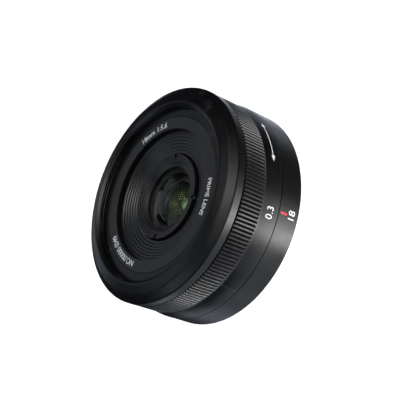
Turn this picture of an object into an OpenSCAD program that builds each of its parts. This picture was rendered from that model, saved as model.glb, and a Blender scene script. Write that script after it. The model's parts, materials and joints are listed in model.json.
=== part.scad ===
// Manual-focus wide-angle prime lens with a three-lug bayonet.
// A fixed barrel carries a turning focus ring. A cam ring inside the focus ring moves
// the whole optical unit straight along the axis through three followers.
// Origin: centre of the mount's seating face. +Z: optical axis, towards the subject.
// The index line is at -Y. The model rests at its closest focus, optical unit forward.

/* [Rear barrel] */
// Radius of the fixed rear barrel
barrel_r = 30.3; // [30.2:0.05:30.5]
// Height of the barrel's rear edge above the seating face
barrel_rear_z = 1.0; // [0.8:0.1:1.2]
// Height of the barrel's front edge
barrel_front_z = 8.0; // [7.9:0.05:8.0]
// Edge break on the barrel and the focus ring
edge = 0.15; // [0.05:0.05:0.25]

/* [Focus ring] */
// Radius of the smooth band at its rear edge
ring_r = 30.35; // [30.2:0.05:30.5]
// Radius at the bottom of the dip behind the ribs
ring_dip_r = 29.5; // [29.3:0.1:29.7]
// Radius over the ribs
rib_r = 29.95; // [29.8:0.05:30.1]
// Depth of the grooves between the ribs
rib_depth = 0.35; // [0.2:0.05:0.5]
// Number of ribs round the ring
rib_count = 180; // [120:1:200]
// Height where the ribs start
rib_rear_z = 13.4; // [13.0:0.1:14.0]
// Height of the focus ring's front face
ring_front_z = 20.7; // [20.5:0.05:20.75]

/* [Front ring] */
// Radius of the front ring
front_r = 30.0; // [29.8:0.05:30.2]
// Height of the front ring's rear face
front_rear_z = 21.0; // [20.95:0.05:21.05]
// Height where the front ring starts to narrow
shoulder_z = 23.3; // [23.0:0.1:23.5]
// Radius of the small step round the rim
rim_step_r = 27.6; // [27.2:0.1:28.0]
// Height of the rim's front edge
rim_z = 25.5; // [25.3:0.1:25.7]
// Wall radius of the 49 mm filter thread
filter_r = 24.1; // [24.05:0.05:24.2]
// Height of the floor of the filter recess
filter_floor_z = 23.4; // [23.3:0.05:23.5]

/* [Name ring and funnel] */
// Outer radius of the name ring
name_r = 21.65; // [21.6:0.05:21.7]
// Inner radius of the name ring
name_bore_r = 18.25; // [18.2:0.05:18.5]
// Outer radius of the stepped funnel's first land
funnel_r = 18.05; // [17.9:0.05:18.05]
// Height of the funnel's first land
funnel_z = 21.8; // [21.7:0.05:21.9]
// Outer radius of the funnel's last land
funnel_end_r = 12.95; // [12.8:0.05:13.2]
// Height of the funnel's last land
funnel_end_z = 20.5; // [20.45:0.05:20.7]
// Number of slopes between the funnel's lands
funnel_slopes = 6; // [4:1:8]

/* [Focusing] */
// Turn of the focus ring from infinity to the closest distance, degrees
throw_deg = 85; // [70:1:88]
// Forward travel of the optical unit over that turn
travel = 1.3; // [1.0:0.1:1.3]
// Height of the cam followers at the closest distance
follower_z = 15.0; // [14.9:0.1:15.1]
// Radius of the follower bushes
follower_r = 1.5; // [1.4:0.1:1.6]
// Running clearance on radius between sliding cylinders
run_fit = 0.06; // [0.04:0.01:0.08]

/* [Bayonet] */
// Radius of the camera throat that the lugs pass through
throat_r = 23.05; // [23.0:0.05:23.1]
// Radius of the mount's locating tube
register_r = 21.9; // [21.7:0.05:22.0]
// Length of the tube behind the seating face
bayonet_depth = 4.7; // [4.5:0.1:5.0]
// Radius of the seating flange
flange_r = 28.9; // [28.7:0.1:28.9]
// Thickness of the seating flange
flange_t = 1.6; // [1.5:0.1:1.6]
// Width of each lug, degrees
lug_deg = 52; // [44:1:58]

/* [Optics] */
// Radius of the front element
front_glass_r = 9.3; // [9.2:0.05:9.35]
// Radius of the inner elements in front of the stop
inner_glass_r = 7.1; // [7.0:0.05:7.15]
// Radius of the inner elements behind the stop
rear_glass_r = 7.5; // [7.4:0.05:7.55]
// Radius of the fixed aperture stop's hole
stop_hole_r = 1.7; // [1.6:0.1:2.0]

/* [Hidden] */
$fn = 96;
eps = 0.02;
seat = 0.05;

// Finishes
black_satin = "#1d1e20";
black_flat = "#101011";
steel_bright = "#b9bcbf";
brass_dull = "#a98a4a";
nylon_black = "#26262a";
glass_tint = "#9fb7a8";
mark_red = "#d0202a";

// Stack of the mount
shim_t = 0.15;
shim_z = flange_t + shim_t;
tube_flange_top_z = 3.2;
tube_flange_r = 28.2;
barrel_floor_z = 7.2;
barrel_ledge_r = 28.2;

// Guide tube and cam ring, from the inside out
unit_r = 22.5;
follower_shank_r = 0.8;
follower_head_l = 0.7;
tube_bore_r = unit_r + run_fit;
tube_r = 24.8;
cam_bore_r = tube_r + run_fit;
cam_r = 27.2;
ring_bore_r = cam_r + seat;
tube_top_z = 20.4;
tube_front_flange_z = 18.6;
tube_front_bore_r = 19.0;

// Focus ring
ring_rear_z = barrel_front_z + 0.15;
ring_lip_top_z = 9.9;
ring_lip_r = 24.95;
cam_rear_z = ring_lip_top_z;
cam_front_z = 20.45;
dip_z = rib_rear_z - 0.25;
dip_steps = 6;

// Cam: the slot is cut by a slab tilted about the radius through the slot's middle
cam_mean_r = (cam_bore_r + cam_r) / 2;
cam_slot_clearance = 0.08;
cam_half_run = cam_mean_r * sin(throw_deg / 2);
cam_tilt = atan((travel / 2) / cam_half_run);
cam_slot_half_l = cam_r * sin(throw_deg / 2) + follower_r;
cam_slot_h = 2 * (follower_r + cam_slot_clearance);

// Index line: width, length, lowest point and depth of its enamel
index_w = 0.56;
index_l = 2.25;
index_z = 5.15;
index_depth = 0.2;

// Angles, degrees about +Z
index_deg = -90;
follower_degs = [30, 150, 270];
ring_screw_degs = [10, 130, 250];
front_screw_degs = [90, 210, 330];
mount_screw_degs = [45, 135, 225, 315];
baffle_screw_degs = [90, 270];
lug_degs = [20, 140, 260];
stop_pin_deg = 175;

// Screws: [shank radius, head radius, head height]
m2 = [0.95, 1.8, 0.9];
m16 = [0.75, 1.2, 0.6];
m14 = [0.6, 1.0, 0.55];
mount_screw_r = 26.0;
mount_screw_end_z = 4.9;
ring_screw_r = 26.2;
ring_screw_end_z = 12.0;
front_screw_r = 20.1;
front_screw_end_z = 18.9;
baffle_screw_r = 18.5;

// Focus stop
stop_pin_r = 0.7;
stop_pin_track_r = 26.05;
stop_slot_z = 5.3;
stop_slot_clearance = 0.1;
stop_end_play_deg = 0.3;

// Washers under and over the focus ring
washer_in_r = 27.35;
washer_out_r = 28.1;
wave_washer_t = 0.45;

// Front end
rim_step_w = 0.5;
rim_step_drop = 0.85;
rim_fall = 0.75;
rim_in_r = filter_r + 0.75;
rim_out_r = filter_r + 1.4;
filter_chamfer = 0.7;
web_bottom_z = 21.2;
web_top_z = 22.4;
name_top_z = filter_floor_z + 0.01;
front_skirt_r = 24.7;
baffle_rim_r = 21.5;
baffle_bottom_z = 19.6;
baffle_bore_r = 12.25;

// Rear end
mount_ledge_z = -2.9;
mount_ledge_t = 1.5;
mount_ledge_r = 17.2;
mount_bore_r = 19.9;
baffle_window = [30, 20];
baffle_window_corner = 2.5;
baffle_t = 1.3;
relief_depth = 0.3;
lock_hole_r = 1.4;
lock_hole_depth = 1.1;
lock_hole_deg = 185;
dot_deg = -128;
dot_r = 0.9;
dot_track_r = 27.2;
dot_depth = 0.3;

// Optical unit
sleeve_in_r = 19.8;
sleeve_z = [8.0, 17.9];
web_z = [15.2, 16.4];
cell_r = 12.2;
nose_r = 11.6;
nose_top_z = 20.3;
cell_rear_z = -1.1;
front_seat_z = 16.4;
front_seat_r = 9.4;
inner_bore_r = 7.2;
stop_shelf_z = [8.6, 9.6];
stop_shelf_r = 4.2;
rear_bore_r = 7.6;
rear_seat_z = 2.6;
rear_seat_r = 9.4;
glass_gap = 0.02;
stop_t = 0.15;
front_spacer_top_z = 17.0;
doublet_top_z = 14.2;
doublet_join_z = 13.2;
rear_doublet_join_z = 5.9;
rear_doublet_z = 4.0;
doublet_ring_in_r = 6.0;
rear_spacer_in_r = 6.3;
rear_cap_in_r = 7.6;
rear_cap_slot_r = 8.4;
rear_cap_top_z = 0.3;

// Faces of the glass elements: [bulge, radius of the sphere], hollow if the bulge is negative
flat_face = [0, 1];
front_glass_faces = [[1.05, 30], [-2.35, 11]];
front_join = [2.3, 12];
front_doublet_face = [1.0, 16];
rear_join = [1.6, 14];
rear_doublet_face = [0.6, 20];
rear_glass_faces = [[-0.5, 30], [0.9, 28]];

// Notched retaining ring in front of the glass
notched_r = 11.82;
notched_top_z = 21.5;
notched_step_start_r = 11.68;
notched_step_end_r = 9.6;
notched_step_end_z = 20.65;
notched_slopes = 4;
notched_bezel_r = 8.55;
notched_bezel_z = 20.2;
notched_skirt_z = 19.6;
notch_w = 1.0;
notch_l = 1.3;
notch_depth = 0.8;
notch_deg = -1.5;

// Flat share of each step in the funnel and the notched ring
land_part = 0.6;

// ---------- shared shapes ----------

// Solid of revolution through [radius, height] points
module turned(points) {
    rotate_extrude() polygon(points);
}

// Plain ring between two heights
module ring(outer, inner, low, high) {
    turned([[inner, low], [outer, low], [outer, high], [inner, high]]);
}

// Copies its child to each angle, out at the given radius
module at_angles(angles, out = 0) {
    for (a = angles) rotate([0, 0, a]) translate([out, 0, 0]) children();
}

// Upright cylinder between two heights
module post(r, low, high) {
    translate([0, 0, low]) cylinder(r = r, h = high - low);
}

// Part of a ring between two angles
module sector(outer, inner, low, high, from_deg, sweep_deg) {
    rotate([0, 0, from_deg]) rotate_extrude(angle = sweep_deg)
        translate([inner, low]) square([outer - inner, high - low]);
}

// [radius, height] points of a stair that leads inwards: each flat land ends in a slope to the next
function stair_profile(r0, z0, r1, z1, slopes) = [
    for (i = [0 : slopes - 1])
        let (z = z0 + (z1 - z0) * i / slopes)
        each [
            [r0 + (r1 - r0) * i / slopes, z],
            [r0 + (r1 - r0) * (i + land_part) / slopes, z]
        ]
];

// Face that bulges or is hollow by the same amount the other way round
function reversed(face) = [-face[0], face[1]];

// One glass element: a disc with a spherical face at each end
module element(r, low, high, front, rear) {
    difference() {
        union() {
            post(r, low, high);
            if (front[0] > 0) intersection() {
                translate([0, 0, high + front[0] - front[1]]) sphere(r = front[1]);
                post(r, high, high + front[0] + 1);
            }
            if (rear[0] > 0) intersection() {
                translate([0, 0, low - rear[0] + rear[1]]) sphere(r = rear[1]);
                post(r, low - rear[0] - 1, low);
            }
        }
        if (front[0] < 0) translate([0, 0, high + front[0] + front[1]]) sphere(r = front[1]);
        if (rear[0] < 0) translate([0, 0, low - rear[0] - rear[1]]) sphere(r = rear[1]);
    }
}

// Screw pointing up the axis, head at the bottom, with a cross recess
module screw(size, low, high, countersunk = false) {
    difference() {
        union() {
            if (countersunk) translate([0, 0, low]) cylinder(r1 = size[1], r2 = size[0], h = size[2]);
            else post(size[1], low, low + size[2]);
            post(size[0], low + size[2] / 2, high);
        }
        for (a = [0, 90]) rotate([0, 0, a]) cross_arm(size, low);
    }
}

// One arm of the cross recess
module cross_arm(size, low) {
    arm_l = size[1] * 1.1;
    arm_w = size[1] * 0.28;
    translate([-arm_l / 2, -arm_w / 2, low - eps]) cube([arm_l, arm_w, size[2] * 0.6]);
}

// ---------- mount ----------

module bayonet_mount() {
    lug_z = [-3.0, -1.6];
    color(steel_bright) difference() {
        union() {
            ring(flange_r, mount_bore_r, 0, flange_t);
            ring(register_r, mount_bore_r, -bayonet_depth, eps);
            ring(register_r, mount_ledge_r, mount_ledge_z, mount_ledge_z + mount_ledge_t);
            for (a = lug_degs)
                sector(throat_r - 0.1, register_r - 0.5, lug_z[0], lug_z[1], a, lug_deg);
        }
        ring(throat_r + 0.1, register_r, -eps, relief_depth);
        at_angles(mount_screw_degs, mount_screw_r) mount_screw_hole();
        at_angles([lock_hole_deg], mount_screw_r) post(lock_hole_r, -eps, lock_hole_depth);
        at_angles([dot_deg], dot_track_r) post(dot_r, -eps, dot_depth);
        at_angles(baffle_screw_degs, baffle_screw_r)
            post(m14[0], mount_ledge_z - eps, mount_ledge_z + mount_ledge_t + eps);
    }
}

module mount_screw_hole() {
    post(m2[0] + seat, -eps, flange_t + eps);
    translate([0, 0, -eps]) cylinder(r1 = m2[1] + 2 * seat, r2 = m2[0] + seat, h = m2[2] + seat);
}

module mount_screws() {
    color(steel_bright) at_angles(mount_screw_degs, mount_screw_r)
        screw(m2, seat, mount_screw_end_z, true);
}

module mount_shim() {
    color(brass_dull) difference() {
        ring(flange_r - 0.1, unit_r, flange_t, shim_z);
        at_angles(mount_screw_degs, mount_screw_r) post(m2[0] + 0.1, flange_t - eps, shim_z + eps);
    }
}

module mount_index_dot() {
    color(mark_red) at_angles([dot_deg], dot_track_r) post(dot_r, 0, dot_depth);
}

module rear_light_baffle() {
    low = mount_ledge_z - baffle_t;
    corner = baffle_window_corner;
    window = [baffle_window[0] / 2 - corner, baffle_window[1] / 2 - corner];
    color(black_flat) difference() {
        post(mount_bore_r - seat, low, mount_ledge_z);
        translate([-window[0], -window[1] - corner, low - eps])
            cube([2 * window[0], 2 * (window[1] + corner), baffle_t + 2 * eps]);
        translate([-window[0] - corner, -window[1], low - eps])
            cube([2 * (window[0] + corner), 2 * window[1], baffle_t + 2 * eps]);
        for (x = [-1, 1], y = [-1, 1])
            translate([x * window[0], y * window[1], 0]) post(corner, low - eps, mount_ledge_z + eps);
        at_angles(baffle_screw_degs, baffle_screw_r) {
            post(m14[0] + seat, low - eps, mount_ledge_z + eps);
            post(m14[1] + seat, low - eps, low + m14[2]);
        }
    }
}

module rear_baffle_screws() {
    low = mount_ledge_z - baffle_t;
    color(steel_bright) at_angles(baffle_screw_degs, baffle_screw_r)
        screw(m14, low, mount_ledge_z + mount_ledge_t - 0.1);
}

// ---------- fixed barrel ----------

module rear_barrel() {
    color(black_satin) difference() {
        turned([
            [tube_r + seat, tube_flange_top_z], [tube_flange_r + seat, tube_flange_top_z],
            [tube_flange_r + seat, shim_z], [flange_r + 0.1, shim_z],
            [flange_r + 0.1, barrel_rear_z], [barrel_r - edge, barrel_rear_z],
            [barrel_r, barrel_rear_z + edge], [barrel_r, barrel_front_z - edge],
            [barrel_r - edge, barrel_front_z], [barrel_ledge_r, barrel_front_z],
            [barrel_ledge_r, barrel_floor_z], [tube_r + seat, barrel_floor_z]
        ]);
        at_angles(mount_screw_degs, mount_screw_r)
            post(m2[0], tube_flange_top_z - eps, mount_screw_end_z + 0.2);
        stop_slot();
        index_groove();
    }
}

// Curved slot that the focus stop pin runs in, with a round end at each limit
module stop_slot() {
    r = stop_pin_r + stop_slot_clearance;
    start = stop_pin_deg - throw_deg - stop_end_play_deg;
    sweep = throw_deg + 2 * stop_end_play_deg;
    sector(stop_pin_track_r + r, stop_pin_track_r - r, stop_slot_z, barrel_floor_z + eps, start, sweep);
    at_angles([start, start + sweep], stop_pin_track_r) post(r - eps, stop_slot_z, barrel_floor_z + eps);
}

// Groove for the index line, and the enamel that fills it
module index_groove() {
    rotate([0, 0, index_deg]) translate([barrel_r - index_depth, -index_w / 2, index_z])
        cube([1, index_w, index_l]);
}

module index_mark() {
    color(mark_red) intersection() {
        index_groove();
        ring(barrel_r, barrel_r - 0.5, barrel_rear_z, barrel_front_z);
    }
}

module guide_tube() {
    slot_low = follower_z - travel - follower_r - 0.2;
    slot_high = follower_z + follower_r + 0.2;
    slot_w = 2 * (follower_r + run_fit);
    color(black_flat) difference() {
        turned([
            [tube_bore_r, shim_z], [tube_flange_r, shim_z], [tube_flange_r, tube_flange_top_z],
            [tube_r, tube_flange_top_z], [tube_r, tube_top_z], [tube_front_bore_r, tube_top_z],
            [tube_front_bore_r, tube_front_flange_z], [tube_bore_r, tube_front_flange_z]
        ]);
        at_angles(mount_screw_degs, mount_screw_r)
            post(m2[0] + 0.1, shim_z - eps, tube_flange_top_z + eps);
        at_angles(follower_degs, tube_bore_r - 1)
            translate([0, -slot_w / 2, slot_low]) cube([4, slot_w, slot_high - slot_low]);
        at_angles(front_screw_degs, front_screw_r)
            post(m16[0], tube_front_flange_z - eps, tube_top_z + eps);
    }
}

module wave_washer() {
    color(steel_bright)
        ring(washer_out_r, washer_in_r, barrel_floor_z, barrel_floor_z + wave_washer_t);
}

module rear_thrust_washer() {
    low = barrel_floor_z + wave_washer_t;
    color(nylon_black) ring(washer_out_r, washer_in_r, low, ring_rear_z - seat);
}

module front_thrust_washer() {
    color(nylon_black)
        ring(cam_r - 0.1, cam_bore_r + 0.1, cam_front_z + seat, front_rear_z - seat);
}

// ---------- front end ----------

module front_ring() {
    color(black_satin) difference() {
        turned([
            [name_bore_r, web_bottom_z], [front_skirt_r, web_bottom_z], [front_skirt_r, front_rear_z],
            [front_r - edge, front_rear_z], [front_r, front_rear_z + edge],
            [front_r, shoulder_z - edge], [front_r - edge, shoulder_z + edge / 2],
            [rim_step_r + rim_step_w, rim_z - rim_step_drop - edge],
            [rim_step_r + edge / 2, rim_z - rim_step_drop],
            [rim_step_r, rim_z - rim_fall], [rim_out_r, rim_z - edge / 2],
            [rim_in_r + edge, rim_z], [rim_in_r, rim_z - edge / 2],
            [filter_r, rim_z - filter_chamfer], [filter_r, filter_floor_z],
            [name_r + eps, filter_floor_z], [name_r + eps, web_top_z], [name_bore_r, web_top_z]
        ]);
        at_angles(front_screw_degs, front_screw_r) {
            post(m16[0] + seat, web_bottom_z - eps, web_top_z + eps);
            post(m16[1] + seat, web_top_z - m16[2] - seat, web_top_z + eps);
        }
    }
}

module front_ring_screws() {
    color(steel_bright) at_angles(front_screw_degs, front_screw_r)
        translate([0, 0, web_top_z - seat]) mirror([0, 0, 1])
            screw(m16, 0, web_top_z - seat - front_screw_end_z);
}

module front_baffle() {
    color(black_flat) difference() {
        turned(concat(
            [
                [baffle_bore_r, baffle_bottom_z], [tube_front_bore_r - 0.1, baffle_bottom_z],
                [tube_front_bore_r - 0.1, tube_top_z], [baffle_rim_r, tube_top_z],
                [baffle_rim_r, web_bottom_z], [name_bore_r - 0.1, web_bottom_z],
                [name_bore_r - 0.1, funnel_z]
            ],
            stair_profile(funnel_r, funnel_z, funnel_end_r, funnel_end_z, funnel_slopes),
            [
                [funnel_end_r, funnel_end_z], [baffle_bore_r + 0.06, funnel_end_z],
                [baffle_bore_r, funnel_end_z - 0.06]
            ]
        ));
        at_angles(front_screw_degs, front_screw_r)
            post(m16[0] + seat, tube_top_z - eps, web_bottom_z + eps);
    }
}

module name_ring() {
    color(black_satin) turned([
        [name_bore_r, web_top_z], [name_r, web_top_z], [name_r, name_top_z - 0.1],
        [name_r - 0.1, name_top_z], [name_bore_r + 0.12, name_top_z], [name_bore_r, name_top_z - 0.12]
    ]);
}

// ---------- focus ring ----------

// Points of the smooth band, which curves ever more steeply down to the dip
function dip_profile() = [
    for (i = [0 : dip_steps])
        let (t = i / dip_steps, low = ring_rear_z + edge)
        [ring_r - (ring_r - ring_dip_r) * t * t, low + (dip_z - low) * t]
];

// Outline of the ribbed part, seen along the axis
module rib_outline() {
    step = 360 / rib_count;
    polygon([
        for (i = [0 : rib_count - 1], ridge = [1, 0])
            let (r = rib_r - (ridge == 1 ? 0 : rib_depth), a = (i + (ridge == 1 ? 0 : 0.5)) * step)
            [r * cos(a), r * sin(a)]
    ]);
}

module focus_ring() {
    color(black_satin) difference() {
        union() {
            turned(concat(
                [[ring_lip_r, ring_lip_top_z], [ring_lip_r, ring_rear_z], [ring_r - edge, ring_rear_z]],
                dip_profile(),
                [
                    [ring_dip_r, ring_front_z], [ring_bore_r, ring_front_z],
                    [ring_bore_r, ring_lip_top_z]
                ]
            ));
            translate([0, 0, rib_rear_z]) linear_extrude(ring_front_z - rib_rear_z)
                difference() {
                    rib_outline();
                    circle(r = ring_bore_r + 0.5);
                }
        }
        at_angles(ring_screw_degs, ring_screw_r) {
            post(m14[0] + seat, ring_rear_z - eps, ring_lip_top_z + eps);
            post(m14[1] + seat, ring_rear_z - eps, ring_rear_z + m14[2] + 2 * seat);
        }
        at_angles([stop_pin_deg], stop_pin_track_r) post(stop_pin_r, ring_rear_z - eps, ring_lip_top_z + eps);
    }
}

module focus_cam_ring() {
    color(brass_dull) difference() {
        ring(cam_r, cam_bore_r, cam_rear_z, cam_front_z);
        for (a = follower_degs) rotate([0, 0, a + throw_deg / 2]) cam_slot();
        at_angles(ring_screw_degs, ring_screw_r)
            post(m14[0], cam_rear_z - eps, ring_screw_end_z + 0.2);
    }
}

// Slab that cuts one cam slot. It falls from the closest distance towards infinity.
module cam_slot() {
    translate([0, 0, follower_z - travel / 2]) rotate([-cam_tilt, 0, 0])
        translate([cam_bore_r / 3, -cam_slot_half_l, -cam_slot_h / 2])
            cube([cam_r, 2 * cam_slot_half_l, cam_slot_h]);
}

module focus_ring_screws() {
    color(steel_bright) at_angles(ring_screw_degs, ring_screw_r)
        screw(m14, ring_rear_z + seat, ring_screw_end_z);
}

module focus_stop_pin() {
    color(steel_bright) at_angles([stop_pin_deg], stop_pin_track_r)
        post(stop_pin_r, stop_slot_z + 0.4, ring_lip_top_z);
}

// ---------- optical unit ----------

module lens_unit_barrel() {
    color(black_flat) difference() {
        turned([
            [front_seat_r, nose_top_z], [front_seat_r, front_seat_z], [inner_bore_r, front_seat_z],
            [inner_bore_r, stop_shelf_z[1]], [stop_shelf_r, stop_shelf_z[1]],
            [stop_shelf_r, stop_shelf_z[0]], [rear_bore_r, stop_shelf_z[0]],
            [rear_bore_r, rear_seat_z], [rear_seat_r, rear_seat_z], [rear_seat_r, cell_rear_z],
            [cell_r - 0.5, cell_rear_z], [cell_r, cell_rear_z + 0.5], [cell_r, web_z[0]],
            [sleeve_in_r, web_z[0]], [sleeve_in_r, sleeve_z[0]], [unit_r, sleeve_z[0]],
            [unit_r, sleeve_z[1]], [sleeve_in_r, sleeve_z[1]], [sleeve_in_r, web_z[1]],
            [nose_r, web_z[1]], [nose_r, nose_top_z]
        ]);
        for (a = follower_degs) rotate([0, 0, a])
            follower_bore(follower_shank_r, sleeve_in_r - 1, unit_r + 1);
    }
}

// Cylinder along a radius at the followers' height
module follower_bore(r, from_r, to_r) {
    translate([from_r, 0, follower_z]) rotate([0, 90, 0]) cylinder(r = r, h = to_r - from_r);
}

module cam_follower_screws() {
    end_r = cam_r - 0.2;
    color(steel_bright) for (a = follower_degs) rotate([0, 0, a]) difference() {
        union() {
            follower_bore(follower_shank_r, sleeve_in_r + 0.1, end_r - follower_head_l / 2);
            follower_bore(follower_r - 0.1, end_r - follower_head_l, end_r);
        }
        translate([end_r - follower_head_l / 2, -follower_r, follower_z - 0.2])
            cube([1, 2 * follower_r, 0.4]);
    }
}

module cam_follower_bushes() {
    color(brass_dull) for (a = follower_degs) rotate([0, 0, a]) difference() {
        follower_bore(follower_r, unit_r + seat, cam_r - 0.95);
        follower_bore(follower_shank_r + seat, unit_r - 1, cam_r);
    }
}

module front_retaining_ring() {
    color(black_satin) difference() {
        turned(concat(
            [
                [notched_bezel_r, notched_skirt_z], [front_seat_r - seat, notched_skirt_z],
                [front_seat_r - seat, nose_top_z], [notched_r, nose_top_z],
                [notched_r, notched_top_z - 0.08], [notched_r - 0.08, notched_top_z]
            ],
            stair_profile(
                notched_step_start_r, notched_top_z, notched_step_end_r, notched_step_end_z,
                notched_slopes
            ),
            [[notched_step_end_r, notched_step_end_z], [notched_bezel_r, notched_bezel_z]]
        ));
        for (k = [0 : 3]) rotate([0, 0, notch_deg + 90 * k])
            translate([notched_r - notch_l, -notch_w / 2, notched_top_z - notch_depth])
                cube([notch_l + 1, notch_w, 1 + notch_depth]);
    }
}

module front_element() {
    color(glass_tint)
        element(
            front_glass_r, front_spacer_top_z, notched_skirt_z - glass_gap,
            front_glass_faces[0], front_glass_faces[1]
        );
}

module front_spacer() {
    color(black_flat)
        ring(front_glass_r, inner_bore_r + 0.1, front_seat_z, front_spacer_top_z - glass_gap);
}

module front_doublet_ring() {
    color(black_flat)
        ring(inner_bore_r - seat, doublet_ring_in_r, doublet_top_z + glass_gap, front_seat_z - 0.1);
}

module front_doublet_front() {
    color(glass_tint) element(
        inner_glass_r, doublet_join_z + glass_gap, doublet_top_z, front_doublet_face, front_join
    );
}

module front_doublet_rear() {
    color(glass_tint) element(
        inner_glass_r, stop_shelf_z[1] + 0.2, doublet_join_z, reversed(front_join), flat_face
    );
}

module aperture_stop() {
    color(black_flat)
        ring(inner_bore_r - seat, stop_hole_r, stop_shelf_z[1], stop_shelf_z[1] + stop_t);
}

module rear_doublet_front() {
    color(glass_tint) element(
        rear_glass_r, rear_doublet_join_z, stop_shelf_z[0] - glass_gap, flat_face, reversed(rear_join)
    );
}

module rear_doublet_rear() {
    color(glass_tint) element(
        rear_glass_r, rear_doublet_z, rear_doublet_join_z - glass_gap, rear_join, rear_doublet_face
    );
}

module rear_spacer() {
    color(black_flat)
        ring(rear_bore_r - seat, rear_spacer_in_r, rear_seat_z + 0.1, rear_doublet_z - glass_gap);
}

module rear_element() {
    color(glass_tint) element(
        rear_seat_r - 0.1, rear_cap_top_z, rear_seat_z - glass_gap, rear_glass_faces[0], rear_glass_faces[1]
    );
}

module rear_retaining_ring() {
    color(black_satin) difference() {
        ring(rear_seat_r - seat, rear_cap_in_r, cell_rear_z, rear_cap_top_z - glass_gap);
        for (a = [0, 180]) rotate([0, 0, a])
            translate([rear_cap_slot_r, -notch_w / 2, cell_rear_z - eps]) cube([2, notch_w, notch_depth]);
    }
}

// ---------- assembly ----------

bayonet_mount();
mount_screws();
mount_shim();
mount_index_dot();
rear_light_baffle();
rear_baffle_screws();
rear_barrel();
index_mark();
guide_tube();
wave_washer();
rear_thrust_washer();
front_thrust_washer();
front_ring();
front_ring_screws();
front_baffle();
name_ring();
focus_ring();
focus_cam_ring();
focus_ring_screws();
focus_stop_pin();
lens_unit_barrel();
cam_follower_screws();
cam_follower_bushes();
front_retaining_ring();
front_element();
front_spacer();
front_doublet_ring();
front_doublet_front();
front_doublet_rear();
aperture_stop();
rear_doublet_front();
rear_doublet_rear();
rear_spacer();
rear_element();
rear_retaining_ring();
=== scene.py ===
import json
import math

import bmesh
import bpy
import numpy as np
from mathutils import Matrix, Vector

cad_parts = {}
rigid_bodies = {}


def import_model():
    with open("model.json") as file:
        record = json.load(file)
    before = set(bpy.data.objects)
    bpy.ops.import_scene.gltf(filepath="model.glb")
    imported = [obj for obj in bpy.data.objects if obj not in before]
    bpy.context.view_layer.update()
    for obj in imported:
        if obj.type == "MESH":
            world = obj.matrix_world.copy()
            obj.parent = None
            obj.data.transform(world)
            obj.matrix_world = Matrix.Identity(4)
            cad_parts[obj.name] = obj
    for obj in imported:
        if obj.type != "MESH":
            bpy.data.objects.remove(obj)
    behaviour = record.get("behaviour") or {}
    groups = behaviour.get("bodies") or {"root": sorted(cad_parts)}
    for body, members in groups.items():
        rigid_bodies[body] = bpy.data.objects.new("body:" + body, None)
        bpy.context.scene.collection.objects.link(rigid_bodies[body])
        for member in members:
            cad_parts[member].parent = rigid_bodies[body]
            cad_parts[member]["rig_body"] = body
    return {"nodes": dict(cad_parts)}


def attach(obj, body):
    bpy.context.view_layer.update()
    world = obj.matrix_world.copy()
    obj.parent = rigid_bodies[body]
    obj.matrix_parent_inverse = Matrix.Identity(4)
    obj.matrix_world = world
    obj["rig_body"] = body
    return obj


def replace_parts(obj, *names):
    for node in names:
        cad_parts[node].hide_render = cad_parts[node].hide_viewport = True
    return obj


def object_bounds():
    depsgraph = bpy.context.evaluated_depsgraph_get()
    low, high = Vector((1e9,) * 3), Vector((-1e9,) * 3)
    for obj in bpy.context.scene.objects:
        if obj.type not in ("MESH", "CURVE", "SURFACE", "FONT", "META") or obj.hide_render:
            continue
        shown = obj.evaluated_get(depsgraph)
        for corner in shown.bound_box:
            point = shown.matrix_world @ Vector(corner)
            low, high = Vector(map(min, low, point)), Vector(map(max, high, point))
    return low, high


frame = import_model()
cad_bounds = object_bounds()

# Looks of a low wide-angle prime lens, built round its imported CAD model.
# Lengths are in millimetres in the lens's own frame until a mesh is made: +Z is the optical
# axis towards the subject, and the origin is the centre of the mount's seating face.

MM = 0.001
# Segments round a turned piece, and the angle above which an edge is shaded sharp
SMOOTH_TURN = 360
SHARP_ANGLE = math.radians(32)
# In a CAD mesh: faces flatter to each other than this are merged, edges sharper are broken
FLAT_ANGLE = math.radians(0.5)
BROKEN_ANGLE = math.radians(40)


# ---------- measuring the frame ----------

class Turned:
    """Inner and outer radius, and lowest and highest z, of a turned CAD node, in mm."""

    def __init__(self, node):
        co = np.array([v.co for v in frame["nodes"][node].data.vertices]) / MM
        radius = np.hypot(co[:, 0], co[:, 1])
        self.bore, self.r = float(radius.min()), float(radius.max())
        self.low, self.high = float(co[:, 2].min()), float(co[:, 2].max())
        self.points = np.column_stack([radius, co[:, 2]])

    def radius_near(self, z, reach=0.3):
        """Largest radius among the points within reach of a height."""
        near = np.abs(self.points[:, 1] - z) < reach
        return float(self.points[near, 0].max())


focus = Turned("focus_ring")
front = Turned("front_ring")
barrel = Turned("rear_barrel")
names = Turned("name_ring")
funnel = Turned("front_baffle")
notched = Turned("front_retaining_ring")
cam = Turned("focus_cam_ring")
glass = Turned("front_element")


# ---------- outlines and meshes ----------

# A rounding takes at most this part of the sides next to it
ROUNDING_PART = 0.38
# The straight next to a rounding ends this many times the rounding's reach from the corner
LEAD_IN = 1.25


def rounded(corners, steps=4):
    """Closed outline through (r, z) corners. A third number rounds that corner by about so much."""
    points = []
    for i, corner in enumerate(corners):
        here = np.array(corner[:2], float)
        if len(corner) == 2:
            points.append(here)
            continue
        back = np.array(corners[i - 1][:2], float) - here
        ahead = np.array(corners[(i + 1) % len(corners)][:2], float) - here
        lengths = np.linalg.norm(back), np.linalg.norm(ahead)
        reach = min(corner[2], ROUNDING_PART * lengths[0], ROUNDING_PART * lengths[1])
        back, ahead = back / lengths[0] * reach, ahead / lengths[1] * reach
        points.append(here + LEAD_IN * back)
        for k in range(steps + 1):
            t = k / steps
            points.append(here + (1 - t) ** 2 * back + t ** 2 * ahead)
        points.append(here + LEAD_IN * ahead)
    return np.array(points)


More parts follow.
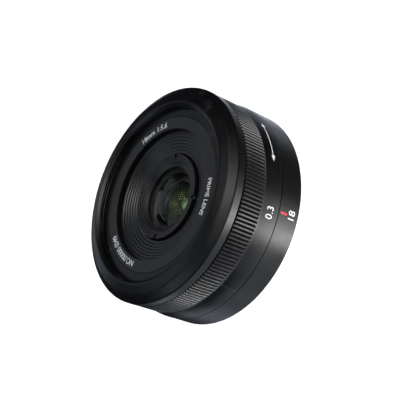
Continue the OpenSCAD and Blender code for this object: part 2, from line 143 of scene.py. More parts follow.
def lathe(name, outline, segments=SMOOTH_TURN, shape=None):
    """Mesh turned about +Z from a closed (r, z) outline.

    shape(r, z, angle), where given, returns the bent r and z.
    """
    outline = np.asarray(outline, float)
    following = np.roll(outline, -1, axis=0)
    if np.sum(outline[:, 0] * following[:, 1] - following[:, 0] * outline[:, 1]) < 0:
        outline = outline[::-1]
    rows = len(outline)
    angle = np.arange(segments) * 2 * math.pi / segments
    r, z, angle = np.broadcast_arrays(outline[:, :1], outline[:, 1:], angle[None, :])
    if shape:
        r, z = shape(r, z, angle)
    co = np.stack([r * np.cos(angle), r * np.sin(angle), z], axis=2).reshape(-1, 3) * MM
    i, j = np.meshgrid(np.arange(rows), np.arange(segments), indexing="ij")
    next_i, next_j = (i + 1) % rows, (j + 1) % segments
    faces = np.stack([i * segments + j, i * segments + next_j,
                      next_i * segments + next_j, next_i * segments + j], axis=2).reshape(-1, 4)
    mesh = bpy.data.meshes.new(name)
    mesh.from_pydata(co.tolist(), [], faces.tolist())
    if outline[:, 0].min() < 1e-6:
        welded = bmesh.new()
        welded.from_mesh(mesh)
        bmesh.ops.remove_doubles(welded, verts=welded.verts, dist=1e-7)
        bmesh.ops.dissolve_degenerate(welded, dist=1e-7, edges=welded.edges)
        welded.to_mesh(mesh)
        welded.free()
    return smoothed(mesh)


def smoothed(mesh):
    """Smooth shading with sharp edges kept."""
    mesh.polygons.foreach_set("use_smooth", [True] * len(mesh.polygons))
    mesh.set_sharp_from_angle(angle=SHARP_ANGLE)
    mesh.update()
    return mesh


def arc(r, z, bulge, sphere, steps=28):
    """Points from the axis out to (r, z) along a spherical face. A negative bulge is hollow."""
    radii = [r * k / steps for k in range(steps + 1)]
    sign = math.copysign(1, bulge)
    return [(x, z + bulge - sign * (sphere - math.sqrt(sphere ** 2 - x ** 2))) for x in radii]


def ease(t):
    """Smooth step from 0 to 1."""
    t = np.clip(t, 0, 1)
    return t * t * (3 - 2 * t)


# ---------- placing pieces ----------

def place(name, mesh, material, body):
    """New piece that rides on a body."""
    piece = bpy.data.objects.new(name, mesh)
    bpy.context.scene.collection.objects.link(piece)
    mesh.materials.clear()
    mesh.materials.append(material)
    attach(piece, body)
    return piece


def stand_in(node, mesh, material):
    """Piece that takes a CAD node's place, body and slot."""
    piece = place(node + "_fine", mesh, material, frame["nodes"][node]["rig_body"])
    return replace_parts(piece, node)


def bevelled(node, width):
    """Copy of a CAD node's mesh with its sharp edges broken, width mm wide."""
    mesh = frame["nodes"][node].data.copy()
    mesh.name = node + "_fine"
    work = bmesh.new()
    work.from_mesh(mesh)
    bmesh.ops.remove_doubles(work, verts=work.verts, dist=1e-6)
    bmesh.ops.dissolve_limit(work, angle_limit=FLAT_ANGLE, verts=work.verts, edges=work.edges)
    sharp = [e for e in work.edges if e.is_manifold and e.calc_face_angle(0) > BROKEN_ANGLE]
    bmesh.ops.bevel(work, geom=sharp, offset=width * MM, segments=2, profile=0.5,
                    affect="EDGES", clamp_overlap=True)
    bmesh.ops.triangulate(work, faces=[f for f in work.faces if len(f.verts) > 4])
    work.to_mesh(mesh)
    work.free()
    return smoothed(mesh)


# ---------- materials ----------

# The Mix node's sockets for colours: two inputs and the output
MIX_A, MIX_B, MIX_OUT = 6, 7, 2
# Pointiness from which an edge gets a painted highlight, and where the painted highlight is full
HIGHLIGHT_FROM, HIGHLIGHT_TO = 0.52, 0.60


class Finish:
    """Builder for one procedural material in the lens's own coordinates."""

    def __init__(self, name, **values):
        self.material = bpy.data.materials.new(name)
        self.material.use_nodes = True
        self.tree = self.material.node_tree
        self.shader = self.tree.nodes["Principled BSDF"]
        for key, value in values.items():
            socket = key.replace("_", " ").title().replace("Ior", "IOR")
            self.shader.inputs[socket].default_value = value
        self.place = self.node("ShaderNodeTexCoord").outputs["Object"]
        self.normal = None

    def node(self, kind, inputs=None, **settings):
        """New node. An input given as a socket is linked, any other is set."""
        made = self.tree.nodes.new(kind)
        for key, value in settings.items():
            setattr(made, key, value)
        for key, value in (inputs or {}).items():
            if isinstance(value, bpy.types.NodeSocket):
                self.tree.links.new(value, made.inputs[key])
            else:
                made.inputs[key].default_value = value
        return made

    def link(self, value, key):
        """Links a socket to one of the shader's inputs."""
        self.tree.links.new(value, self.shader.inputs[key])

    def noise(self, size, detail=2.0, where=None):
        """Noise whose features are about size mm across."""
        made = self.node("ShaderNodeTexNoise", {
            "Vector": where or self.place, "Scale": 1 / (size * MM), "Detail": detail})
        return made.outputs["Fac"]

    def ranged(self, value, low, high, from_low=0.3, from_high=0.7):
        """value from a usual noise range to low..high."""
        return self.node("ShaderNodeMapRange", {
            "Value": value, "From Min": from_low, "From Max": from_high,
            "To Min": low, "To Max": high}).outputs["Result"]

    def turning(self, pitch):
        """Fine rings round the axis and along it, as a lathe tool leaves them, pitch mm apart."""
        split = self.node("ShaderNodeSeparateXYZ", {"Vector": self.place})
        flat = self.node("ShaderNodeCombineXYZ", {"X": split.outputs["X"], "Y": split.outputs["Y"]})
        out = self.node("ShaderNodeVectorMath", {0: flat.outputs[0]}, operation="LENGTH")
        along = self.node("ShaderNodeMath", {0: out.outputs["Value"], 1: split.outputs["Z"]},
                          operation="ADD").outputs[0]
        rings = self.node("ShaderNodeCombineXYZ", {"X": along}).outputs[0]
        return self.noise(pitch, 2.0, rings)

    def bump(self, height, depth):
        """Relief of about depth mm, on top of any set before."""
        inputs = {"Height": height, "Distance": depth * MM}
        if self.normal:
            inputs["Normal"] = self.normal
        self.normal = self.node("ShaderNodeBump", inputs).outputs["Normal"]
        self.link(self.normal, "Normal")

    def wandering(self, value, first, second, low=0.35, high=0.65):
        """Mix node that goes from one colour to the other as value goes from low to high."""
        share = self.ranged(value, 0, 1, low, high)
        mixed = self.node("ShaderNodeMix", data_type="RGBA")
        self.tree.links.new(share, mixed.inputs["Factor"])
        mixed.inputs[MIX_A].default_value = (*first, 1)
        mixed.inputs[MIX_B].default_value = (*second, 1)
        return mixed

    def colours(self, value, first, second):
        """Base colour that wanders between two colours with value."""
        mixed = self.wandering(value, first, second)
        self.link(mixed.outputs[MIX_OUT], "Base Color")
        return mixed

    def painted_edge_highlight(self, mixed, highlight_colour, amount):
        """Base colour that goes from mixed to a lighter colour on convex edges: a painted highlight
        where the edges catch the light.
        """
        point = self.node("ShaderNodeNewGeometry").outputs["Pointiness"]
        highlight_share = self.node("ShaderNodeMath", {
            0: self.ranged(point, 0, amount, HIGHLIGHT_FROM, HIGHLIGHT_TO),
            1: self.ranged(self.noise(0.6), 0.2, 1)}, operation="MULTIPLY")
        highlighted = self.node("ShaderNodeMix", data_type="RGBA")
        self.tree.links.new(highlight_share.outputs[0], highlighted.inputs["Factor"])
        self.tree.links.new(mixed.outputs[MIX_OUT], highlighted.inputs[MIX_A])
        highlighted.inputs[MIX_B].default_value = (*highlight_colour, 1)
        self.link(highlighted.outputs[MIX_OUT], "Base Color")


def satin_black():
    """Bead-blasted, anodised aluminium: outer rings."""
    f = Finish("black_anodised_satin", roughness=0.32, specular_ior_level=0.33)
    mixed = f.colours(f.noise(3.0, 4), (0.0035, 0.0036, 0.0041), (0.0055, 0.0057, 0.0062))
    # Convex edges get a painted highlight in their base colour
    f.painted_edge_highlight(mixed, (0.05, 0.05, 0.054), 0.6)
    f.link(f.ranged(f.noise(6.0, 5), 0.29, 0.36), "Roughness")
    f.bump(f.noise(0.16, 3), 0.010)
    return f.material


def matt_black():
    """Flat black anodising with fine turning marks: the inner face."""
    f = Finish("black_anodised_matt", roughness=0.4, specular_ior_level=0.33)
    f.colours(f.noise(2.0, 4), (0.018, 0.0185, 0.020), (0.024, 0.0245, 0.0265))
    f.link(f.ranged(f.noise(4.0, 4), 0.28, 0.36), "Roughness")
    f.bump(f.turning(0.09), 0.006)
    f.bump(f.noise(0.12, 2), 0.006)
    return f.material


def inner_black():
    """Black inside parts, semi-matt."""
    f = Finish("black_inner", roughness=0.5)
    f.colours(f.noise(1.5, 3), (0.008, 0.008, 0.009), (0.014, 0.014, 0.015))
    f.link(f.ranged(f.noise(3.0, 3), 0.42, 0.55), "Roughness")
    f.bump(f.turning(0.12), 0.008)
    return f.material


def flock_black():
    """Light-absorbing flock on the rear baffle."""
    f = Finish("black_flock", roughness=0.95, specular_ior_level=0.2, sheen_weight=0.25)
    f.colours(f.noise(0.3, 4), (0.003, 0.003, 0.003), (0.010, 0.010, 0.011))
    f.bump(f.noise(0.08, 4), 0.04)
    return f.material


def turned_metal(name, first, second, roughness, pitch=0.07):
    """Bare metal with fine rings left by the lathe and a little handling haze."""
    f = Finish(name, metallic=1.0, roughness=roughness)
    f.colours(f.noise(2.5, 4), first, second)
    f.link(f.ranged(f.noise(5.0, 5), roughness - 0.06, roughness + 0.08), "Roughness")
    f.bump(f.turning(pitch), 0.004)
    f.bump(f.noise(0.4, 3), 0.002)
    return f.material


def slick_plastic():
    """Self-lubricating black plastic of the thrust washers."""
    f = Finish("black_nylon", roughness=0.5, specular_ior_level=0.4)
    f.colours(f.noise(0.8, 3), (0.035, 0.035, 0.04), (0.055, 0.055, 0.06))
    f.bump(f.noise(0.1, 3), 0.006)
    return f.material


def enamel(name, first, second):
    """Paint filled into an engraving."""
    f = Finish(name, roughness=0.45, specular_ior_level=0.4)
    f.colours(f.noise(0.35, 3), first, second)
    f.bump(f.noise(0.12, 3), 0.004)
    return f.material


def coated_glass(name, tint, film, other_film, roughness):
    """Optical glass whose anti-reflection coating leaves a faint colour that drifts between two.

    Lamps shine through it, so they light what lies behind.
    """
    f = Finish(name, base_color=(*tint, 1), ior=1.5, transmission_weight=1.0, roughness=roughness)
    coating = f.wandering(f.noise(7.0, 2), film, other_film, 0.3, 0.7)
    f.link(coating.outputs[MIX_OUT], "Specular Tint")
    path = f.node("ShaderNodeLightPath")
    clear = f.node("ShaderNodeBsdfTransparent", {"Color": (*tint, 1)})
    both = f.node("ShaderNodeMixShader", {
        0: path.outputs["Is Shadow Ray"], 1: f.shader.outputs[0], 2: clear.outputs[0]})
    f.tree.links.new(both.outputs[0], f.tree.nodes["Material Output"].inputs["Surface"])
    return f.material


BLACK = satin_black()
FACE = matt_black()
INNER = inner_black()
FLOCK = flock_black()
CHROME = turned_metal("satin_chrome", (0.55, 0.56, 0.58), (0.66, 0.67, 0.69), 0.27)
STEEL = turned_metal("plain_steel", (0.42, 0.43, 0.45), (0.55, 0.56, 0.58), 0.25, 0.05)
BRASS = turned_metal("turned_brass", (0.50, 0.36, 0.14), (0.66, 0.49, 0.22), 0.28)
NYLON = slick_plastic()
WHITE = enamel("white_enamel", (0.90, 0.90, 0.90), (0.97, 0.97, 0.96))
RED = enamel("red_enamel", (0.62, 0.012, 0.018), (0.75, 0.02, 0.03))
GLASS = coated_glass(
    "coated_glass", (0.97, 1.0, 0.95), (0.07, 0.09, 0.02), (0.10, 0.09, 0.04), 0.0)
INNER_GLASS = coated_glass(
    "inner_coated_glass", (0.95, 1.0, 0.9), (0.17, 0.18, 0.10), (0.20, 0.18, 0.12), 0.13)


# ---------- outer rings ----------

# Rounding of the rings' edges, and the gaps between fixed pieces: close and loose
EDGE = 0.15
SNUG = 0.05
LOOSE = 0.1
# Focus ring: the ribs and their crest's part of the pitch
RIBS = 180
SAMPLES_PER_RIB = 12
RIB_REAR_Z = 13.4
RIB_R = focus.radius_near(focus.high)
RIB_DEPTH = 0.5
RIB_CREST_PART = 0.42
RIB_CHAMFER = 0.25
# Focus ring: the dip behind the ribs, the lip under the cam and the bore round it
DIP_END_Z = RIB_REAR_Z - 0.25
DIP_R = focus.radius_near(RIB_REAR_Z - 0.35, 0.2)
BAND_POINTS = 14
LIP_TOP_Z = cam.low
LIP_R = focus.bore
RING_BORE_R = cam.r + SNUG


def band_radius(z):
    """Radius of the focus ring's smooth band, which curves down to the dip behind the ribs."""
    low = focus.low + EDGE
    t = np.clip((z - low) / (DIP_END_Z - low), 0, 1)
    return focus.r - (focus.r - DIP_R) * t * t


def focus_ring():
    """Smooth band that dips into straight ribs."""
    heights = np.linspace(focus.low + 2 * EDGE, DIP_END_Z, BAND_POINTS)[1:]
    band = [(float(band_radius(z)), z) for z in heights]
    top = focus.high
    ribs = [
        # rear chamfer
        (DIP_R + 0.02, RIB_REAR_Z - 0.05), (RIB_R - 0.08, RIB_REAR_Z + RIB_CHAMFER),
        (RIB_R, RIB_REAR_Z + RIB_CHAMFER + 0.12),
        # middle of the crest
        (RIB_R, (RIB_REAR_Z + top) / 2),
        # front chamfer
        (RIB_R, top - RIB_CHAMFER - 0.1), (RIB_R - 0.06, top - RIB_CHAMFER),
        (DIP_R - 0.05, top - 0.04),
    ]
    outline = rounded(
        [(LIP_R, focus.low), (focus.r, focus.low, EDGE)] + band + ribs
        + [(DIP_R - 0.2, top), (RING_BORE_R, top), (RING_BORE_R, LIP_TOP_Z), (LIP_R, LIP_TOP_Z)])

    def ribbed(r, z, angle):
        """Cuts the grooves: from crest to crest they go down and up in straight slopes."""
        height = np.clip((r - DIP_R) / (RIB_R - DIP_R), 0, 1) * (z > RIB_REAR_Z)
        across = 2 * np.abs((angle * RIBS / (2 * math.pi) + 0.5) % 1.0 - 0.5)
        groove = np.clip((across - RIB_CREST_PART) / (1 - RIB_CREST_PART), 0, 1)
        return r - RIB_DEPTH * height * groove, z

    stand_in("focus_ring", lathe("focus_ring_fine", outline, RIBS * SAMPLES_PER_RIB, ribbed), BLACK)


# Rear barrel: where it rests on the guide tube's flange and on the shim, its rear edge's
# rounding, and the depth of the stop pin's channel below the pin
TUBE_FLANGE_TOP_Z = 3.2
SHIM_TOP_Z = 1.75
REAR_EDGE = 0.35
PIN_ROOM = 0.4


def rear_barrel():
    """Fixed ring behind the focus ring, with the inner channel for the stop pin."""
    pin = Turned("focus_stop_pin")
    tube = Turned("guide_tube")
    washer = Turned("wave_washer")
    mount = Turned("bayonet_mount")
    bore_r, ledge_r = LIP_R - LOOSE, washer.r + LOOSE
    channel_in_r, channel_out_r, channel_z = pin.bore - LOOSE, pin.r + LOOSE, pin.low - PIN_ROOM
    outline = rounded([
        (bore_r, TUBE_FLANGE_TOP_Z), (tube.r + SNUG, TUBE_FLANGE_TOP_Z),
        (tube.r + SNUG, SHIM_TOP_Z), (mount.r + LOOSE, SHIM_TOP_Z),
        (mount.r + LOOSE, barrel.low), (barrel.r, barrel.low, REAR_EDGE),
        (barrel.r, barrel.high, EDGE), (ledge_r, barrel.high, 0.08), (ledge_r, washer.low),
        (channel_out_r, washer.low), (channel_out_r, channel_z),
        (channel_in_r, channel_z), (channel_in_r, washer.low), (bore_r, washer.low),
    ])
    stand_in("rear_barrel", lathe("rear_barrel_fine", outline), BLACK)


# Filter thread: its wall, the floor of its recess, and how far below the rim the wall starts
THREAD_PITCH = 0.75
THREAD_DEPTH = 0.36
THREAD_POINTS = 26
FILTER_R = 24.1
FILTER_FLOOR_Z = names.high - 0.01
THREAD_DROP = 0.62
# Front ring: the top of its outer wall, and the step round the rim
SHOULDER_Z = 23.22
RIM_STEP_R = 27.6


def front_ring():
    """Rounded shoulder, small step round the rim and the filter thread inside."""
    rim, floor = front.high, FILTER_FLOOR_Z
    web = names.low
    heights = np.linspace(rim - THREAD_DROP, floor + 0.05, THREAD_POINTS)
    outline = rounded([
        # rear face
        (names.bore, front.low), (front.r, front.low, 0.12),
        # shoulder and step
        (front.r, SHOULDER_Z, 0.28), (RIM_STEP_R + 0.5, rim - 1.0, 0.1),
        (RIM_STEP_R, rim - 0.8, 0.05), (RIM_STEP_R - 0.04, rim - 0.70, 0.05),
        # rim and the mouth of the thread
        (FILTER_R + 1.4, rim - 0.06, 0.12), (FILTER_R + 0.85, rim, 0.12),
        (FILTER_R + 0.1, rim - 0.55, 0.06)]
        + [(FILTER_R, z) for z in heights]
        # floor of the recess, and the seat of the name ring
        + [(FILTER_R, floor), (names.r + 0.08, floor, 0.05), (names.r + 0.02, web),
           (names.bore, web)])

    def threaded(r, z, angle):
        """Cuts the thread into the filter wall. It fades out at the floor and at the mouth."""
        on_wall = np.abs(r - FILTER_R) < 0.02
        fade = ease((z - floor - 0.02) / 0.12) * ease((rim - 0.66 - z) / 0.1)
        turn = (z / THREAD_PITCH - angle / (2 * math.pi)) % 1.0
        crest = 1 - np.abs(2 * turn - 1)
        return r + on_wall * fade * THREAD_DEPTH * ease((crest - 0.1) / 0.8), z

    stand_in("front_ring", lathe("front_ring_fine", outline, SMOOTH_TURN, threaded), BLACK)


def name_ring():
    """Flat ring that carries the lettering."""
    outline = rounded([
        (names.bore, names.low), (names.r, names.low), (names.r, names.high, 0.1),
        (names.bore, names.high, 0.12)])
    stand_in("name_ring", lathe("name_ring_fine", outline), FACE)


# ---------- funnel, front cell and glass ----------

# Funnel: (r, z) of its first and last land, and the flat share of each of its steps
FUNNEL_TOP = (18.05, 21.8)
FUNNEL_LAST_LAND = (12.95, 20.5)
FUNNEL_SLOPES = 6
LAND_PART = 0.6
STEP_ROUNDING = 0.03


def stair(start, end, slopes):
    """(r, z) corners of a stair that leads inwards: each flat land ends in a slope to the next."""
    (r0, z0), (r1, z1) = start, end
    points = []
    for i in range(slopes):
        z = z0 + (z1 - z0) * i / slopes
        points.append((r0 + (r1 - r0) * i / slopes, z, STEP_ROUNDING))
        points.append((r0 + (r1 - r0) * (i + LAND_PART) / slopes, z, STEP_ROUNDING))
    return points + [(r1, z1, STEP_ROUNDING)]


def front_baffle():
    """Stepped light trap between the name ring and the front cell."""
    tube = Turned("guide_tube")
    plug_r, collar_r = tube.bore - LOOSE, names.bore - LOOSE
    outline = rounded([
        (funnel.bore, funnel.low, 0.1), (plug_r, funnel.low), (plug_r, tube.high),
        (funnel.r, tube.high), (funnel.r, front.low), (collar_r, front.low),
        (collar_r, FUNNEL_TOP[1])]
        + stair(FUNNEL_TOP, FUNNEL_LAST_LAND, FUNNEL_SLOPES)
        + [(funnel.bore, FUNNEL_LAST_LAND[1], 0.08)], 3)
    stand_in("front_baffle", lathe("front_baffle_fine", outline), FACE)


# Notched ring: its spanner slots
NOTCHES = 4
NOTCH_TURN = math.radians(-1.5)
NOTCH_W = 1.0
NOTCH_L = 1.3
NOTCH_DEPTH = 0.8
# Notched ring: the face that rests on the cell, its fine steps, and its bezel
NOTCHED_SEAT_Z = 20.3
NOTCHED_STEP_START_R = 11.68
NOTCHED_LAST_LAND = (9.6, 20.65)
NOTCHED_SLOPES = 4
BEZEL_R = 8.55
BEZEL_Z = 20.2


def front_retaining_ring():
    """Notched ring whose fine steps fall to a smooth bezel round the front glass."""
    top, skirt_r = notched.high, glass.r + SNUG
    outline = rounded([
        (BEZEL_R, notched.low), (skirt_r, notched.low), (skirt_r, NOTCHED_SEAT_Z),
        (notched.r, NOTCHED_SEAT_Z), (notched.r, top - 0.3), (notched.r, top, 0.08)]
        + stair((NOTCHED_STEP_START_R, top), NOTCHED_LAST_LAND, NOTCHED_SLOPES)
        + [(BEZEL_R, BEZEL_Z, 0.1)], 3)
    stand_in("front_retaining_ring", notched_mesh(outline), FACE)


def notched_mesh(outline):
    """The turned ring with its spanner slots cut out by blocks that stick out past it."""
    mesh = lathe("front_retaining_ring_fine", outline)
    ring = bpy.data.objects.new("ring_blank", mesh)
    bpy.context.scene.collection.objects.link(ring)
    cutters = []
    past = 1.0
    length, depth = NOTCH_L + past, NOTCH_DEPTH + past
    for k in range(NOTCHES):
        block = bmesh.new()
        bmesh.ops.create_cube(block, size=1)
        turn = Matrix.Rotation(NOTCH_TURN + k * 2 * math.pi / NOTCHES, 4, "Z")
        size = Matrix.Diagonal((length, NOTCH_W, depth, 1))
        out = Matrix.Translation((notched.r - NOTCH_L + length / 2, 0,
                                  notched.high - NOTCH_DEPTH + depth / 2))
        block.transform(Matrix.Scale(MM, 4) @ turn @ out @ size)
        block_mesh = bpy.data.meshes.new("notch")
        block.to_mesh(block_mesh)
        block.free()
        cutter = bpy.data.objects.new("notch", block_mesh)
        bpy.context.scene.collection.objects.link(cutter)
        cut = ring.modifiers.new("notch", "BOOLEAN")
        cut.operation, cut.object, cut.solver = "DIFFERENCE", cutter, "EXACT"
        cutters.append(cutter)
    bpy.context.view_layer.update()
    result = bpy.data.meshes.new_from_object(
        ring.evaluated_get(bpy.context.evaluated_depsgraph_get()))
    result.name = "front_retaining_ring_fine"
    for extra in [ring] + cutters:
        bpy.data.objects.remove(extra)
    return smoothed(result)


# Near enough a plane, as a spherical face
FLAT_FACE = (0.001, 5000)


def element(node, front_face, rear_face, material):
    """Glass element with spherical faces, each given as (bulge, radius of the sphere)."""
    size = Turned(node)
    top = size.high - max(front_face[0], 0)
    bottom = size.low + max(rear_face[0], 0)
    upper = arc(size.r, top, *front_face)
    lower = [(r, 2 * bottom - z) for r, z in arc(size.r, bottom, *rear_face)]
    stand_in(node, lathe(node + "_fine", lower + upper[::-1], 144), material)


def glass_elements():
    """The six elements. Each doublet's two glasses share the curve they are cemented on."""
    element("front_element", (1.05, 30), (-2.35, 11), GLASS)
    element("front_doublet_front", (1.0, 16), (2.3, 12), INNER_GLASS)
    element("front_doublet_rear", (-2.3, 12), FLAT_FACE, INNER_GLASS)
    element("rear_doublet_front", FLAT_FACE, (-1.6, 14), INNER_GLASS)
    element("rear_doublet_rear", (1.6, 14), (0.6, 20), INNER_GLASS)
    element("rear_element", (-0.5, 30), (0.9, 28), GLASS)


# ---------- mount and inside ----------

def hardware():
    """Metal pieces whose CAD edges only need breaking, and the CAD pieces kept as they are."""
    for node, width, material in [
        ("bayonet_mount", 0.12, CHROME), ("mount_screws", 0.04, STEEL),
        ("rear_baffle_screws", 0.04, STEEL), ("rear_light_baffle", 0.08, FLOCK),
        ("rear_retaining_ring", 0.06, INNER), ("lens_unit_barrel", 0.06, INNER),
    ]:
        stand_in(node, bevelled(node, width), material)
    for node, material in {
        "mount_shim": BRASS, "mount_index_dot": RED, "index_mark": RED, "guide_tube": INNER,
        "wave_washer": STEEL, "rear_thrust_washer": NYLON, "front_thrust_washer": NYLON,
        "front_ring_screws": STEEL, "focus_cam_ring": BRASS, "focus_ring_screws": STEEL,
        "focus_stop_pin": STEEL, "cam_follower_screws": STEEL, "cam_follower_bushes": BRASS,
        "front_spacer": INNER, "front_doublet_ring": INNER, "aperture_stop": INNER,
        "rear_spacer": INNER,
    }.items():
        mesh = frame["nodes"][node].data
        mesh.materials.clear()
        mesh.materials.append(material)


# ---------- markings ----------

# The paint's top and underside, measured from the surface it is on
PAINT_PROUD = 0.03
PAINT_SUNK = -0.02
# Longest edge of a flat mark before it is bent
CUT_LENGTH = 0.3
# Height of the font's capitals as a part of its size
CAPITAL_PART = 0.729
# Height above the baseline at which the front face's lettering keeps its width
LETTER_MIDDLE = 0.5


def lettering(name, text, height, spacing=1.0, weight=0.0):
    """Flat mesh of a line of text in mm, centred on its origin, height mm tall in its capitals.

    Strokes are thickened by weight mm on each side.
    """
    curve = bpy.data.curves.new(name, "FONT")
    curve.body = text
    curve.size = (height - 2 * weight) / CAPITAL_PART
    curve.offset = weight
    curve.align_x, curve.align_y = "CENTER", "BOTTOM_BASELINE"
    curve.space_character = spacing
    curve.resolution_u = 4
    holder = bpy.data.objects.new(name, curve)
    bpy.context.scene.collection.objects.link(holder)
    bpy.context.view_layer.update()
    mesh = bpy.data.meshes.new_from_object(
        holder.evaluated_get(bpy.context.evaluated_depsgraph_get()))
    bpy.data.objects.remove(holder)
    bpy.data.curves.remove(curve)
    return mesh


def raised(name, mesh, wrap):
    """The flat mesh cut fine, thickened into a thin layer and bent by wrap(x, y, height)."""
    work = bmesh.new()
    work.from_mesh(mesh)
    bmesh.ops.remove_doubles(work, verts=work.verts, dist=1e-5)
    for _ in range(3):
        long = [e for e in work.edges if e.calc_length() > CUT_LENGTH]
        if not long:
            break
        bmesh.ops.subdivide_edges(work, edges=long, cuts=1, use_grid_fill=False)
        bmesh.ops.triangulate(work, faces=work.faces)
    bmesh.ops.recalc_face_normals(work, faces=work.faces)
    if sum(f.normal.z * f.calc_area() for f in work.faces) < 0:
        bmesh.ops.reverse_faces(work, faces=work.faces)
    lower = [v.co.copy() for v in work.verts]
    top = bmesh.ops.duplicate(work, geom=work.verts[:] + work.edges[:] + work.faces[:])
    upper_faces = [g for g in top["geom"] if isinstance(g, bmesh.types.BMFace)]
    upper_verts = {v for f in upper_faces for v in f.verts}
    lower_faces = [f for f in work.faces if f not in set(upper_faces)]
    pairs = top["vert_map"]
    rim = [e for e in work.edges if e.is_boundary and e.verts[0] not in upper_verts]
    for edge in rim:
        a, b = edge.verts
        if edge.link_loops[0].vert != a:
            a, b = b, a
        work.faces.new((a, b, pairs[b], pairs[a]))
    bmesh.ops.reverse_faces(work, faces=lower_faces)
    for v in work.verts:
        height = PAINT_PROUD if v in upper_verts else PAINT_SUNK
        v.co = Vector(wrap(v.co.x, v.co.y, height)) * MM
    bmesh.ops.recalc_face_normals(work, faces=work.faces)
    made = bpy.data.meshes.new(name)
    work.to_mesh(made)
    work.free()
    bpy.data.meshes.remove(mesh)
    return made


def round_side(angle_deg, z, surface):
    """Wrap for a mark on the side: x runs with the angle, y along +Z, on radius surface(z)."""
    def wrap(x, y, height):
        r = float(surface(z + y)) + height
        a = math.radians(angle_deg) + x / r
        return r * math.cos(a), r * math.sin(a), z + y
    return wrap


def round_face(angle_deg, r, z):
    """Wrap for a line on the front face that reads clockwise, with its baseline on radius r."""
    def wrap(x, y, height):
        a = math.radians(angle_deg) - x / (r + LETTER_MIDDLE)
        return (r + y) * math.cos(a), (r + y) * math.sin(a), z + height
    return wrap


# Double arrow: its length round the band, the band's radius there, its shaft and heads
ARROW_TURN = math.radians(26.0)
ARROW_R = 30.1
ARROW_SHAFT_W = 0.22
ARROW_HEAD_L = 1.75
ARROW_HEAD_W = 1.05


def double_arrow(steps=24):
    """Flat mesh of a double-headed arrow along x, centred, its shaft cut into steps."""
    half = ARROW_TURN * ARROW_R / 2
    inner, w = half - ARROW_HEAD_L, ARROW_SHAFT_W / 2
    along = [-inner + 2 * inner * k / steps for k in range(steps + 1)]
    work = bmesh.new()
    low = [work.verts.new((x, -w, 0)) for x in along]
    high = [work.verts.new((x, w, 0)) for x in along]
    for k in range(steps):
        work.faces.new((low[k], low[k + 1], high[k + 1], high[k]))
    for sign, a, b in ((1, low[-1], high[-1]), (-1, low[0], high[0])):
        wing_a = work.verts.new((sign * inner, -ARROW_HEAD_W / 2, 0))
        wing_b = work.verts.new((sign * inner, ARROW_HEAD_W / 2, 0))
        tip = work.verts.new((sign * half, 0, 0))
        for face in ((wing_a, tip, a), (a, tip, b), (b, tip, wing_b)):
            work.faces.new(face)
    bmesh.ops.recalc_face_normals(work, faces=work.faces)
    mesh = bpy.data.meshes.new("double_arrow")
    work.to_mesh(mesh)
    work.free()
    return mesh


# The front face's lettering: distance of its baseline from the name ring's bore, and its weight
FACE_BASELINE = 0.85
FACE_WEIGHT = 0.05


def markings():
    """Generic figures: focal length, aperture, distance and filter size, and plain words."""
    # name, flat mesh, angle in degrees, height on the side, surface under it, body
    side = [
        ("distance_near", lettering("t", "0.3", 2.0, 1.05), -92.1, 9.95, band_radius, "focus"),
        ("distance_far", lettering("t", "∞", 2.0), -6.5, 9.95, band_radius, "focus"),
        ("distance_arrow", double_arrow(), -52.6, 10.9, band_radius, "focus"),
        ("focal_length_mark", lettering("t", "18", 2.3, 1.0, 0.01), -90.0, 2.5,
         lambda z: barrel.r, "barrel"),
    ]
    for name, flat, angle, z, surface, body in side:
        mark = raised(name, flat, round_side(angle, z, surface))
        place(name, mark, WHITE, body)
    # name, text, angle in degrees, height of the capitals, spacing
    face = [
        ("face_focal_length", "18mm 1:5.6", 27.7, 1.75, 1.0),
        ("face_words", "PRIME LENS", -92.3, 1.5, 1.0),
        ("face_filter_size", "NO.00000 Ø49", 148.2, 1.75, 0.95),
    ]
    for name, text, angle, height, spacing in face:
        flat = lettering("t", text, height, spacing, FACE_WEIGHT)
        mark = raised(name, flat, round_face(angle, names.bore + FACE_BASELINE, names.high))
        place(name, mark, WHITE, "barrel")


# ---------- stage, camera and light ----------

# Camera: its place, the ways its view and its top point, its sensor's width and focal length
CAMERA_AT = (-51.7, -227.6, 188.7)
CAMERA_FORWARD = (0.1837, 0.7726, -0.6077)
CAMERA_UP = (0.9560, 0.0032, 0.2931)
CAMERA_SENSOR = 36
CAMERA_LENS = 97.2

# The lights face this point
LIGHT_CENTRE = Vector((0, 0, 12))

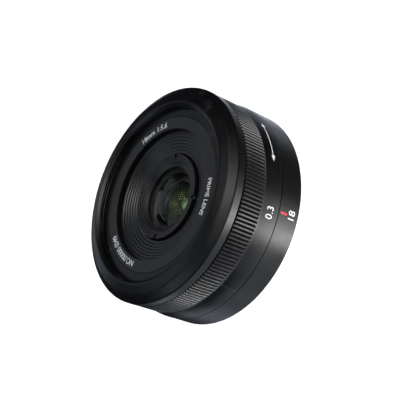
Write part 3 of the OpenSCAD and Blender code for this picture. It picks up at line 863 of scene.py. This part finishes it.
# name, direction from the lens, distance and width x height in mm, power in watts, colour
LIGHTS = [
    ("key_right", (0.19, -0.82, -0.50), 600, (90, 850), 0.85, (1.0, 1.0, 1.0)),
    ("key_middle", (0.03, -0.85, -0.50), 600, (90, 850), 0.97, (1.0, 1.0, 1.0)),
    ("key", (-0.15, -0.84, -0.50), 600, (100, 850), 4.7, (1.0, 1.0, 1.0)),
    ("low_near", (-0.58, -0.62, -0.50), 600, (200, 850), 0.55, (0.82, 0.89, 1.0)),
    ("low_left", (-0.73, -0.18, -0.66), 600, (300, 420), 0.40, (0.80, 0.88, 1.0)),
    ("low_far", (-0.64, 0.38, -0.65), 600, (300, 420), 0.38, (0.78, 0.86, 1.0)),
    ("right", (0.69, 0.26, -0.64), 600, (250, 420), 0.24, (0.82, 0.88, 1.0)),
    ("right_far", (0.44, 0.66, -0.61), 600, (250, 420), 0.72, (0.82, 0.88, 1.0)),
    ("front", (0.22, -0.16, 0.96), 700, (240, 240), 1.43, (1.0, 1.0, 1.0)),
    ("front_right", (0.42, 0.00, 0.90), 700, (240, 240), 0.18, (1.0, 1.0, 1.0)),
    ("face", (0.18, 0.80, 0.58), 700, (300, 300), 0.12, (0.86, 0.93, 1.0)),
    ("left", (-0.58, 0.26, 0.77), 700, (300, 300), 0.39, (0.80, 0.88, 1.0)),
    ("far", (0.03, 0.97, 0.20), 700, (300, 300), 0.18, (0.80, 0.88, 1.0)),
    ("near", (-0.20, -0.45, 0.87), 700, (300, 300), 0.3, (0.90, 0.95, 1.0)),
    ("high_left", (-0.18, 0.57, 0.81), 700, (240, 240), 0.18, (0.85, 0.92, 1.0)),
]
WORLD_GREY = (0.021, 0.0225, 0.0255)

# Floor: how far it is flat, the radius of its sweep, the top of its wall, and its thickness
FLOOR_FLAT_R = 1200
FLOOR_SWEEP_R = 500
FLOOR_WALL = 2500
FLOOR_T = 20
FLOOR_GLOW = 0.93


def camera():
    """Camera without shift or depth of field."""
    forward, up = Vector(CAMERA_FORWARD).normalized(), Vector(CAMERA_UP).normalized()
    right = forward.cross(up).normalized()
    up = right.cross(forward)
    data = bpy.data.cameras.new("camera")
    data.sensor_width, data.lens = CAMERA_SENSOR, CAMERA_LENS
    data.clip_start, data.clip_end = 0.01, 20
    made = bpy.data.objects.new("camera", data)
    bpy.context.scene.collection.objects.link(made)
    turn = Matrix((right, up, -forward)).transposed().to_4x4()
    made.matrix_world = Matrix.Translation(Vector(CAMERA_AT) * MM) @ turn
    bpy.context.scene.camera = made


def lights():
    """Softboxes round the lens, and a faint grey world."""
    for name, direction, distance, size, power, colour in LIGHTS:
        data = bpy.data.lights.new(name, "AREA")
        data.shape = "RECTANGLE"
        data.size, data.size_y = size[0] * MM, size[1] * MM
        data.energy, data.color = power, colour
        made = bpy.data.objects.new(name, data)
        bpy.context.scene.collection.objects.link(made)
        towards = Vector(direction).normalized()
        made.location = (LIGHT_CENTRE + towards * distance) * MM
        made.rotation_mode = "QUATERNION"
        made.rotation_quaternion = towards.to_track_quat("Z", "Y")
    world = bpy.data.worlds.new("studio")
    bpy.context.scene.world = world
    world.use_nodes = True
    world.node_tree.nodes["Background"].inputs["Color"].default_value = (*WORLD_GREY, 1)


def floor():
    """Pale floor that sweeps up far away. It glows by itself and doesn't light the lens."""
    low = cad_bounds[0].z / MM
    wall_r, top, under = FLOOR_FLAT_R + FLOOR_SWEEP_R, low + FLOOR_WALL, low - FLOOR_T
    sweep = [(FLOOR_FLAT_R + FLOOR_SWEEP_R * math.sin(t), low + FLOOR_SWEEP_R * (1 - math.cos(t)))
             for t in (k * math.pi / 16 for k in range(9))]
    outline = [(0, low)] + sweep + [
        (wall_r, top), (wall_r + FLOOR_T, top), (wall_r + FLOOR_T, under), (0, under)]
    f = Finish("pale_floor", roughness=0.9, specular_ior_level=0.2)
    f.colours(f.noise(40, 3), (0.80, 0.80, 0.80), (0.82, 0.82, 0.82))
    f.shader.inputs["Emission Color"].default_value = (1, 1, 1, 1)
    f.shader.inputs["Emission Strength"].default_value = FLOOR_GLOW
    stage = bpy.data.objects.new("studio_floor", lathe("studio_floor", outline, 96))
    stage.data.materials.append(f.material)
    bpy.context.scene.collection.objects.link(stage)
    stage.visible_glossy = False
    stage.visible_diffuse = False
    stage.visible_transmission = False
    stage.visible_shadow = False


camera()
focus_ring()
rear_barrel()
front_ring()
name_ring()
front_baffle()
front_retaining_ring()
glass_elements()
hardware()
markings()
lights()
floor()
bpy.context.scene.view_settings.view_transform = "Standard"
